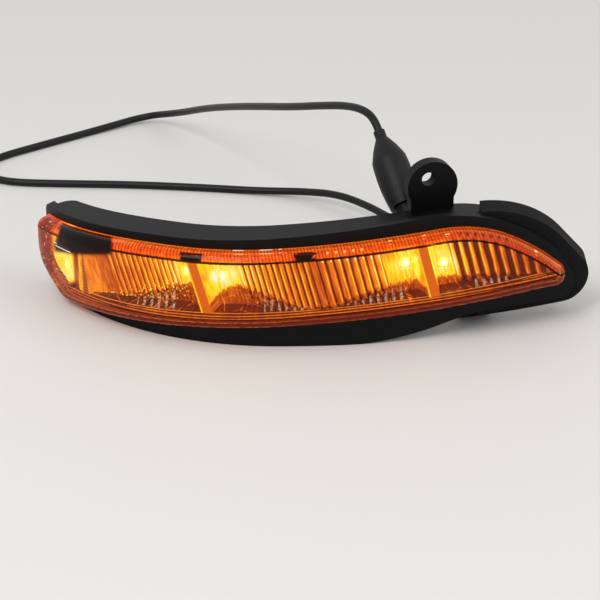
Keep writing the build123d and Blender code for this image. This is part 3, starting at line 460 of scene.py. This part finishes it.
def makeReflectorMetal():
    # vacuum aluminised plastic: mirror bright; the diodes' amber light on it is painted, as glow and as an
    # amber tint of the metal
    material, add = newMaterial("aluminisedReflector")
    place, x, y, z, normalZ = objectPlace(add)
    along, leaningDepth = leaningPlace(add, x, y, z)
    depth = faceDepth(add, x, y)
    plainPlace = placeAlong(add, x, depth)
    light = diodeGlow(add, place, along)
    shine, covered = fluteShine(add, along)

    # floors are level faces right of the shaded gap, but not the sills of the diodes' openings
    level = add("MapRange", normalZ, 0.55, 0.75, **smooth)
    rightOfGap = add("Math", plainPlace, rim["gap"][0] * mm, operation="GREATER_THAN")
    offSill = add("Math", depth, floors["sill"] * mm, operation="GREATER_THAN")
    onFloor = times(add, level, rightOfGap, offSill)
    onRim = add("Math", depth, rim["proud"] * mm, operation="GREATER_THAN")
    upright = outside(add, onFloor, onRim)
    fluted = add("Math", shine, 1.6, 0.16, operation="MULTIPLY_ADD")
    light = times(add, light, add("Mix", times(add, covered, upright), 0.95, fluted))

    # painted streaks of light and shade that run down the flutes
    stretched = add("CombineXYZ", along, times(add, z, 0.12), 0.0)
    lightStreaks = add("TexNoise", Vector=stretched, Scale=1 / (flutes["streakWidth"] * mm), Detail=3.0)
    contrast = add("MapRange", lightStreaks, 0.34, 0.66, **smooth)
    light = times(add, light, add("Math", contrast, 0.5, 0.76, operation="MULTIPLY_ADD"))

    # the floors mirror the flutes: dark red, with bright lines between facets
    facetScale = 1 / (floors["facetSize"] * mm)
    toFacetEdge = add("TexVoronoi", Vector=place, Scale=facetScale, feature="DISTANCE_TO_EDGE")
    facetLines = times(add, add("Math", toFacetEdge, 0.02, operation="LESS_THAN"), contrast)
    dull = times(add, add("Math", light, 0.8, operation="MINIMUM"), 0.17)
    dull = times(add, dull, add("Math", contrast, 0.7, 0.65, operation="MULTIPLY_ADD"))
    mirrorLight = add("Math", facetLines, 0.42, dull, operation="MULTIPLY_ADD")
    light = add("Mix", times(add, onFloor, outside(add, onRim)), light, mirrorLight)

    # low on the walls the same dark floor is mirrored, in broken upright flecks
    drop = add("Math", lowLine(add, x), z, operation="SUBTRACT")
    fleck = add("Math", lightStreaks, 0.5, operation="SUBTRACT")
    ragged = add("Math", fleck, floors["fleckHeight"] * mm, drop, operation="MULTIPLY_ADD")
    mirrored = times(add, add("MapRange", ragged, -0.4 * mm, 0.8 * mm, **smooth), upright)
    light = add("Mix", times(add, mirrored, 0.8), light, mirrorLight)

    # painted yellow glints gather in specks along that line, bright in the left cell and faint in the
    # others
    toSpeck = add("TexVoronoi", Vector=place, Scale=1 / (floors["speckSize"] * mm))
    setIn = add("MapRange", drop, *metres(floors["speckFrom"]), **smooth)
    diedAway = add("MapRange", drop, *metres(floors["speckTo"]), **smooth)
    inLeftCell = add("Math", x, floors["leftCell"] * mm, operation="LESS_THAN")
    strength = add("Math", inLeftCell, 0.55, 0.2, operation="MULTIPLY_ADD")
    speckGlints = times(add, add("Math", toSpeck, 0.3, operation="LESS_THAN"), setIn, upright)
    speckGlints = times(add, speckGlints, outside(add, diedAway))
    light = add("Math", speckGlints, strength, light, operation="MULTIPLY_ADD")

    # the last wall is lit more weakly
    dim = add("MapRange", along, *metres(flutes["dim"]), **smooth)
    light = times(add, light, add("Math", dim, -0.26, 1.0, operation="MULTIPLY_ADD"))

    # rows of broken pale dashes of painted reflection lie on the floors and at the foot of the walls
    onFloorFoot = times(add, onFloor, between(add, depth, *metres(floors["dashDepth"])))
    onWallFoot = times(add, mirrored, add("MapRange", drop, *metres(floors["dashDrop"]), **smooth))
    onFoot = add("Math", onFloorFoot, onWallFoot, operation="MAXIMUM")
    grain = add("TexNoise", Vector=place, Scale=1 / (floors["dashGrain"] * mm), Detail=2.0)
    unbroken = add("MapRange", grain, 0.42, 0.56, **smooth)
    glintDashes = times(add, stripes(add, x, floors["dashPitch"], 0.34), inAny(add, x, floors["glintDashes"]))
    glintDashes = times(add, glintDashes, onFoot, unbroken)

    # a painted highlight line runs along the front of each floor, then a painted shade line
    highlightLine = times(add, between(add, depth, *metres(floors["highlightLine"])), onFloor)
    light = add("Mix", highlightLine, light, add("Math", contrast, 0.3, 0.5, operation="MULTIPLY_ADD"))
    shadeLine = times(add, between(add, depth, *metres(floors["shadeLine"])), onFloor)
    light = times(add, light, add("Math", shadeLine, -0.6, 1.0, operation="MULTIPLY_ADD"))

    # the posts' fronts glow, brighter at their left edges
    onFront = between(add, leaningDepth, *metres(flutes["postFront"]))
    for post in flutes["posts"]:
        left, right = (post - flutes["postHalf"]) * mm, (post + flutes["postHalf"]) * mm
        onPost = times(add, between(add, along, left, right), onFront)
        edge = between(add, along, left, left + flutes["postEdge"] * mm)
        light = add("Mix", onPost, light, add("Math", edge, 0.5, 0.45, operation="MULTIPLY_ADD"))

    # a shaded gap stands between the left diode's pocket and the first wall
    gapLow, gapHigh = rim["gap"]
    pastLeft = add("MapRange", plainPlace, (gapLow - 1.5) * mm, gapLow * mm, **smooth)
    pastRight = add("MapRange", plainPlace, (gapHigh - 1) * mm, gapHigh * mm, **smooth)
    shade = times(add, pastLeft, outside(add, pastRight))
    light = times(add, light, add("Math", shade, -0.8, 1.0, operation="MULTIPLY_ADD"))

    # sparks where the third wall's flutes end under the cover's fold
    onLine = between(add, aboveLine(add, x, z, *rim["sparkLine"]), *metres(rim["sparkHeights"]))
    inSparks = between(add, x, *metres(rim["sparkEnds"]))
    sparks = times(add, onLine, inSparks, add("Math", shine, 0.52, operation="GREATER_THAN"))
    light = add("Math", sparks, 0.9, light, operation="MULTIPLY_ADD")

    # rim: painted light: thin bright lines along its edge below, dim above, and painted shade on the plain
    # panel at the top left
    belowMiddle = add("Math", aboveLine(add, x, z, *rim["middle"]), 0.0, operation="LESS_THAN")
    edgeDrop = times(add, aboveLine(add, x, z, *rim["edge"]), -1.0)
    edgeLines = stripes(add, edgeDrop, rim["linePitch"], 0.36)
    lowerRim = add("Math", edgeLines, 0.4, 0.13, operation="MULTIPLY_ADD")
    lowerRim = times(add, lowerRim, add("Math", contrast, 0.5, 0.75, operation="MULTIPLY_ADD"))
    panel = panelMask(add, x, z)
    rimLight = times(add, add("Mix", belowMiddle, 0.34, lowerRim), outside(add, panel))
    light = add("Mix", onRim, light, rimLight)

    seen = add("Mix", glintDashes, amberLight(add, light), linear("#b4aa9a"), data_type="RGBA")
    # the metal's colour is painted: tinted amber for the diodes' light, and near black on the panel for the
    # painted shade it mirrors
    metal = add("Mix", times(add, panel, onRim), linear("#3a1404"), linear("#0c0705"), data_type="RGBA")
    return endMaterial(material, add, {
        "Base Color": metal,
        "Metallic": 1.0,
        "Roughness": 0.16,
        "Emission Color": seen,
        "Emission Strength": 1.0,
    })


# Web that closes the reflector behind the first wall's nose: its two ends in plan, each as its place
# along the flange face and its depth behind it, in mm
noseWeb = {"outer": (-87.5, -1.0), "inner": (-84.5, -3.3), "low": 6.0, "high": 17.0, "thickness": 0.5}


def makeNoseWeb(material):
    # an upright sheet: in plan a straight run of (place, depth) pairs, each turned into X and Y by the
    # flange face's left arc, and the same at every height
    share, level = np.meshgrid(np.linspace(0, 1, 7), np.linspace(noseWeb["low"], noseWeb["high"], 9))
    (outerAlong, outerDepth), (innerAlong, innerDepth) = noseWeb["outer"], noseWeb["inner"]
    radius = faceCurve["leftRadius"]
    reach = radius + (outerDepth + share * (innerDepth - outerDepth)) * mm
    along = (outerAlong + share * (innerAlong - outerAlong)) * mm
    across = (along - faceCurve["apexX"]) * reach / radius
    inwards = radius - np.sqrt(reach**2 - across**2)
    points = np.stack([faceCurve["apexX"] + across, faceCurve["apexY"] + inwards, level * mm], axis=-1)
    rows, columns = share.shape
    corner = np.arange(rows * columns).reshape(rows, columns)
    around = [corner[:-1, :-1], corner[:-1, 1:], corner[1:, 1:], corner[1:, :-1]]
    faces = np.stack(around, axis=-1).reshape(-1, 4)
    mesh = bpy.data.meshes.new("noseWeb")
    mesh.from_pydata(points.reshape(-1, 3).tolist(), [], faces.tolist())
    mesh.shade_smooth()
    piece = bpy.data.objects.new("noseWeb", mesh)
    bpy.context.scene.collection.objects.link(piece)
    wall = piece.modifiers.new("wall", "SOLIDIFY")
    wall.thickness = noseWeb["thickness"] * mm
    wall.offset = -1.0
    dress(piece, material)
    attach(piece, "root")


# The left end of the cover, seen square to it: its plane faces this many degrees left of the front;
# its edge, the mottled band of painted light and the painted bright rim on it are in mm
endView = {"turn": 55.0, "edge": -19.2, "bandWidth": 14.0, "rimWidth": 0.8}

# The plain panel behind the cover's top left, painted dark as the shade that it mirrors: its left side
# leans, its foot rises to the right; and the painted white reflection along its lower left edge, in mm,
# with lines given as for the rim
shadedPanel = {
    "left": -106.8,
    "leftLean": 0.3,
    "right": -74.0,
    "foot": (0.395, 61.8),
    "streak": (-99.2, -92.6),
    "streakLine": (0.113, 36.1),
    "streakHalf": 0.22,
}

# What shows in the cover's shoulders, in mm along X
shoulder = {
    "level": 22.0,  # height that parts the upper shoulder from the lower one
    "stripePitch": 1.25,
    "mottle": 1.6,  # size of the mottling's patches
    "shadedWindows": [(-48.4, -40.6), (-5.8, 1.8)],  # painted shade: left end, right end
    "windowWaver": 9.0,  # how far their ends stray, in all
    # pale dashes of painted highlight on the cover's foot above it: left end, right end
    "glintDashes": [(-28.4, -24.4), (-18.4, -13.6), (-11.2, -10.2)],
    "dashDepth": (0.5, 1.2),  # depths between which they lie
    "fade": (20.0, 90.0),  # X over which the stripes fade
    # rows of pale painted glints: left end, right end, pitch, lit share of it, lowest and highest normal Z
    "rows": [
        (5.6, 21.4, 3.22, 0.28, 0.62, 0.76),
        (29.6, 31.0, 8.0, 1.0, 0.92, 0.97),
        (42.6, 43.8, 8.0, 1.0, 0.92, 0.97),
        (50.8, 52.8, 8.0, 1.0, 0.76, 0.83),
        (85.8, 87.0, 8.0, 1.0, 0.64, 0.74),
    ],
    "shadedBeads": (56.4, 76.0, 3.05),  # a row of beads of painted shade: left end, right end, pitch
    "linePitch": 1.5,  # between the bright lines that run along the cover's foot
}


def panelMask(add, x, z):
    # one on the plain panel that is painted dark as shade, else nought, with soft edges
    leftSide = add("Math", z, shadedPanel["leftLean"], shadedPanel["left"] * mm, operation="MULTIPLY_ADD")
    fromLeft = add("Math", x, leftSide, operation="SUBTRACT")
    inLeft = add("MapRange", fromLeft, -0.4 * mm, 0.8 * mm, **smooth)
    pastRight = add("MapRange", x, (shadedPanel["right"] - 2) * mm, shadedPanel["right"] * mm, **smooth)
    aboveFoot = add("MapRange", aboveLine(add, x, z, *shadedPanel["foot"]), -1.6 * mm, 0.5 * mm, **smooth)
    return times(add, inLeft, outside(add, pastRight), aboveFoot)


def makeCoverPlastic():
    # clear moulded polycarbonate: transparent, with amber light caught in its foot and its shoulders
    material, add = newMaterial("clearPolycarbonate")
    place, x, y, z, normalZ = objectPlace(add)
    along = leaningPlace(add, x, y, z)[0]
    depth = faceDepth(add, x, y)
    mottle = add("TexNoise", Vector=place, Scale=1 / (shoulder["mottle"] * mm), Detail=3.0)

    # upper shoulder: fine mottled stripes of painted light that fade to the right
    upper = add("Math", z, shoulder["level"] * mm, operation="GREATER_THAN")
    onShoulder = times(add, add("MapRange", normalZ, 0.2, 0.34, **smooth), upper)
    striped = stripes(add, along, shoulder["stripePitch"], 0.4)
    striped = add("Math", striped, -0.35, 0.75, operation="MULTIPLY_ADD")
    striped = times(add, striped, add("Math", mottle, 1.6, 0.2, operation="MULTIPLY_ADD"))
    toRight = add("MapRange", x, *metres(shoulder["fade"]), **smooth)
    fade = add("Math", toRight, -0.4, 1.0, operation="MULTIPLY_ADD")

    # what is painted dark as shade in it: the fold below it, two ragged windows, a row of beads and the
    # panel
    foldLine = times(add, between(add, normalZ, 0.1, 0.24), upper)
    waver = add("Math", mottle, 0.5, operation="SUBTRACT")
    raggedX = add("Math", waver, shoulder["windowWaver"] * mm, x, operation="MULTIPLY_ADD")
    shadedWindows = times(add, inAny(add, raggedX, shoulder["shadedWindows"]), between(add, normalZ, 0.2, 0.86), upper)
    low, high, pitch = shoulder["shadedBeads"]
    shadedBeads = times(add, between(add, cycle(add, x, pitch), 0.3, 0.7), between(add, x, low * mm, high * mm))
    shadedBeads = times(add, shadedBeads, between(add, normalZ, 0.6, 0.8), upper)
    shaded = add("Math", shadedWindows, foldLine, operation="ADD")
    shaded = add("Math", shadedBeads, 0.7, shaded, operation="MULTIPLY_ADD")
    shaded = add("Math", shaded, 1.0, operation="MINIMUM")
    onCover = add("Math", depth, 1.3 * mm, operation="GREATER_THAN")
    shaded = add("Math", shaded, times(add, panelMask(add, x, z), onCover), operation="MAXIMUM")

    # painted glints in it: pale ones, and white ones on the foot above it, and a painted white reflection
    # on the panel's edge
    glintMarks = 0.0
    for low, high, pitch, share, flattest, steepest in shoulder["rows"]:
        row = times(add, between(add, x, low * mm, high * mm), stripes(add, x, pitch, share))
        row = times(add, row, between(add, normalZ, flattest, steepest), upper)
        glintMarks = add("Math", glintMarks, row, operation="ADD")
    footGlints = times(add, inAny(add, x, shoulder["glintDashes"]), upper)
    footGlints = times(add, footGlints, between(add, depth, *metres(shoulder["dashDepth"])))
    overStreak = aboveLine(add, x, z, *shadedPanel["streakLine"])
    half = shadedPanel["streakHalf"] * mm
    streak = times(add, inAny(add, x, [shadedPanel["streak"]]), between(add, overStreak, -half, half))
    whiteGlints = add("Math", footGlints, streak, operation="ADD")

    # the left end: a mottled dark red band of painted light and shade, with painted glints in it and a thin
    # bright rim of painted light
    turn = math.radians(endView["turn"])
    fromApex = add("Math", x, faceCurve["apexX"], operation="SUBTRACT")
    fromCentre = add("Math", y, faceCurve["apexY"] + faceCurve["leftRadius"], operation="SUBTRACT")
    endX = times(add, fromApex, math.cos(turn))
    endPlace = add("Math", fromCentre, -math.sin(turn), endX, operation="MULTIPLY_ADD")
    bandEdge = (endView["edge"] + endView["bandWidth"]) * mm
    leftBand = outside(add, add("MapRange", endPlace, bandEdge, bandEdge + 3 * mm, **smooth))
    rimEdge = (endView["edge"] + endView["rimWidth"]) * mm
    leftRim = add("Math", endPlace, rimEdge, operation="LESS_THAN")
    glints = times(add, add("MapRange", mottle, 0.58, 0.68, **smooth), leftBand)
    bandLight = times(add, leftBand, add("Math", mottle, 0.45, -0.1, operation="MULTIPLY_ADD"))

    # lower shoulder and foot: lines along it, broken where the light is caught less
    sloped = add("Math", add("Math", normalZ, operation="ABSOLUTE"), 0.2, operation="GREATER_THAN")
    lowerShoulder = times(add, sloped, outside(add, upper))
    caught = add("MapRange", mottle, 0.38, 0.55, **smooth)
    lines = times(add, stripes(add, depth, shoulder["linePitch"], 0.2), lowerShoulder, caught)
    onFoot = outside(add, add("MapRange", depth, 0.4 * mm, 1.8 * mm, **smooth))

    light = times(add, onShoulder, striped, fade, outside(add, leftBand))
    light = add("Math", light, 0.5, times(add, onFoot, 0.2), operation="MULTIPLY_ADD")
    light = add("Math", light, bandLight, operation="ADD")
    light = add("Math", glints, 0.55, light, operation="MULTIPLY_ADD")
    light = add("Math", lines, 0.5, light, operation="MULTIPLY_ADD")
    light = times(add, light, outside(add, shaded))
    light = add("Math", leftRim, 0.4, light, operation="MULTIPLY_ADD")
    seen = amberLight(add, light)
    for mask, colour in ((glintMarks, "#ffd27a"), (whiteGlints, "#f4f4f0")):
        mask = add("Math", mask, 1.0, operation="MINIMUM")
        seen = add("Mix", mask, seen, linear(colour), data_type="RGBA")
    # the clear cover's tint is painted light and shade: amber on the lit shoulders, red on the left band,
    # near black where shade is painted
    tint = linear("#fff4e4")
    for mask, colour in (
        (onShoulder, "#c8742c"), (lowerShoulder, "#a84614"), (leftBand, "#6a240a"), (shaded, "#180602"),
    ):
        tint = add("Mix", mask, tint, linear(colour), data_type="RGBA")
    return endMaterial(material, add, {
        "Base Color": tint,
        "Roughness": 0.03,
        "IOR": 1.2,  # below polycarbonate's 1.58, so that a pale sky doesn't veil the lit inside
        "Transmission Weight": 1.0,
        "Emission Color": seen,
        "Emission Strength": 0.8,
    })


def makeHousingPlastic():
    # moulded black ABS, satin; its spark grain is drawn coarser than the real one, so that it shows
    material, add = newMaterial("blackAbs")
    place = add("TexCoord").outputs["Object"]
    grain = add("TexNoise", Vector=place, Scale=1 / (0.35 * mm), Detail=3.0)
    return endMaterial(material, add, {
        "Base Color": linear("#050506"),
        "Roughness": add("Math", grain, 0.16, 0.4, operation="MULTIPLY_ADD"),
        "Specular IOR Level": 0.14,
        "Normal": add("Bump", Height=grain, Strength=0.12, Distance=0.05 * mm),
    })


def makeFoam():
    # closed cell foam rubber: matt, with pores about half a millimetre wide
    material, add = newMaterial("foamRubber")
    place = add("TexCoord").outputs["Object"]
    pores = add("TexVoronoi", Vector=place, Scale=1 / (0.6 * mm))
    return endMaterial(material, add, {
        "Base Color": linear("#0a0a0b"),
        "Roughness": 0.9,
        "Specular IOR Level": 0.2,
        "Normal": add("Bump", Height=pores, Strength=0.5, Distance=0.15 * mm),
    })


def makeRubber(name, colour, rough, grainSize):
    # moulded or extruded black rubber and PVC: satin, faintly mottled
    material, add = newMaterial(name)
    place = add("TexCoord").outputs["Object"]
    mottle = add("TexNoise", Vector=place, Scale=1 / (grainSize * mm), Detail=4.0)
    return endMaterial(material, add, {
        "Base Color": linear(colour),
        "Roughness": add("Math", mottle, 0.2, rough - 0.1, operation="MULTIPLY_ADD"),
        "Specular IOR Level": 0.25,
        "Normal": add("Bump", Height=mottle, Strength=0.15, Distance=0.05 * mm),
    })


def makePlain(name, colour, metallic, rough):
    # small inner pieces: their own colour, and a gloss that is a little uneven
    material, add = newMaterial(name)
    place = add("TexCoord").outputs["Object"]
    mottle = add("TexNoise", Vector=place, Scale=1 / (1.2 * mm), Detail=2.0)
    return endMaterial(material, add, {
        "Base Color": linear(colour),
        "Metallic": metallic,
        "Roughness": add("Math", mottle, 0.12, rough - 0.06, operation="MULTIPLY_ADD"),
    })


def makeDiode():
    # white package with a lit amber phosphor dome: nearly white in its middle, yellow at its edge
    material, add = newMaterial("amberPhosphor")
    place = add("TexCoord").outputs["Object"]
    nearest = 1.0
    for number in range(len(diodes["names"])):
        nearest = add("Math", nearest, fromDiode(add, place, number)[1], operation="MINIMUM")
    outwards = add("Math", nearest, 3 * mm, operation="DIVIDE")
    stops = [(0.0, "#ffffff"), (0.4, "#fff6b8"), (0.62, "#ffd428"), (1.0, "#ff9a08")]
    offCentre = add("MapRange", nearest, 0.8 * mm, 2.2 * mm, **smooth)
    return endMaterial(material, add, {
        "Base Color": linear("#ffd070"),
        "Roughness": 0.35,
        "Emission Color": add("ValToRGB", outwards, stops=stops),
        "Emission Strength": add("Mix", offCentre, 4.0, 1.1),
    })


def makeInsertPlastic():
    # clear moulded acrylic with polished facets, lit from the end diode
    material, add = newMaterial("clearAcrylic")
    return endMaterial(material, add, {
        "Base Color": linear("#fff4e8"),
        "Roughness": 0.04,
        "IOR": 1.49,
        "Transmission Weight": 1.0,
        "Emission Color": linear("#ff5a10"),
        "Emission Strength": 0.12,
    })


blackAbs = makeHousingPlastic()
cover = smoothCopy("outer_lens", "clearCover")
dress(cover, makeCoverPlastic())
bond = smoothCopy("lens_bond", "lensAdhesive")
sinkFace(bond, 0.3, 0.1)
dress(bond, makePlain("lampAdhesive", "#120c08", 0.0, 0.5))
mirror = smoothCopy("reflector", "flutedReflector", angle=24.0)
reflectorMetal = makeReflectorMetal()
dress(mirror, reflectorMetal)
makeNoseWeb(reflectorMetal)
housing = smoothCopy("rear_housing", "lampHousing")
dress(housing, blackAbs)
boot = smoothCopy("cable_boot", "cableBoot")
bootRubber = makeRubber("bootRubber", "#0a0a0a", 0.5, 0.8)
dress(boot, bootRubber)
seal = smoothCopy("tip_seal", "foamSeal")
dress(seal, makeFoam())
leadCable.data.materials.append(makeRubber("leadSheath", "#0c0c0d", 0.42, 1.4))
print("main pieces dressed")

inside = {
    "end_light_guide": makeInsertPlastic(),
    "main_board": makePlain("solderMask", "#d8d8d0", 0.0, 0.4),
    "resistors": makePlain("chipResistor", "#101012", 0.0, 0.45),
    "driver_chip": makePlain("epoxyPackage", "#141416", 0.0, 0.55),
    "wire_header": makePlain("nylon", "#e6e0d0", 0.0, 0.4),
    "board_screws": makePlain("zincSteel", "#b8bcc0", 1.0, 0.34),
    "jumper_wires": makePlain("wireJacketRed", "#8a1410", 0.0, 0.4),
    "vent_cap": bootRubber,
    "connector_plug": blackAbs,
    "plug_terminals": makePlain("brassTerminal", "#c9a04a", 1.0, 0.3),
}
for nodeName, twin in (
    ("led_board_1", "main_board"),
    ("led_board_2", "main_board"),
    ("end_led_board", "main_board"),
    ("reflector_screws", "board_screws"),
    ("inner_wires", "jumper_wires"),
):
    inside[nodeName] = inside[twin]
diodeMaterial = makeDiode()
for nodeName in diodes["names"]:
    inside[nodeName] = diodeMaterial
for nodeName, material in inside.items():
    dress(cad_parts[nodeName], material)
print("inner pieces dressed")

# Floor, world and lamps
stage = {
    "floorSize": 6.0,
    "floorColour": "#e6e4e0",
    "skyLight": 0.55,  # strength of the white sky as a light
    "skySeen": 0.9,  # and as it is seen, also in glass and metal
    "keyPower": 9.0,
    "keySize": 0.7,
    "keyPlace": (-0.55, -0.75, 1.1),
    "fillPower": 3.5,
    "fillSize": 0.9,
    "fillPlace": (0.9, -0.4, 0.8),
}


def makeStage():
    half = stage["floorSize"] / 2
    corners = [(-half, -half, 0), (half, -half, 0), (half, half, 0), (-half, half, 0)]
    mesh = bpy.data.meshes.new("floor")
    mesh.from_pydata(corners, [], [(0, 1, 2, 3)])
    floor = bpy.data.objects.new("floor", mesh)
    bpy.context.scene.collection.objects.link(floor)
    material, add = newMaterial("paleTable")
    dress(floor, endMaterial(material, add, {"Base Color": linear(stage["floorColour"]), "Roughness": 0.6}))

    world = bpy.data.worlds.new("sky")
    bpy.context.scene.world = world
    world.use_nodes = True
    tree = world.node_tree
    tree.nodes.clear()
    rays = addNode(tree, "LightPath").outputs
    seen = addNode(tree, "Math", rays["Is Camera Ray"], rays["Is Glossy Ray"], operation="MAXIMUM")
    seen = addNode(tree, "Math", seen, rays["Is Transmission Ray"], operation="MAXIMUM")
    strength = addNode(tree, "Mix", seen, stage["skyLight"], stage["skySeen"])
    addNode(tree, "OutputWorld", addNode(tree, "Background", linear("#ffffff"), strength))

    for name in ("key", "fill"):
        lightData = bpy.data.lights.new(name, "AREA")
        lightData.energy = stage[name + "Power"]
        lightData.size = stage[name + "Size"]
        light = bpy.data.objects.new(name, lightData)
        light.location = stage[name + "Place"]
        light.rotation_mode = "QUATERNION"
        light.rotation_quaternion = (-Vector(stage[name + "Place"])).to_track_quat("-Z", "Y")
        bpy.context.scene.collection.objects.link(light)


makeStage()
print("stage set")
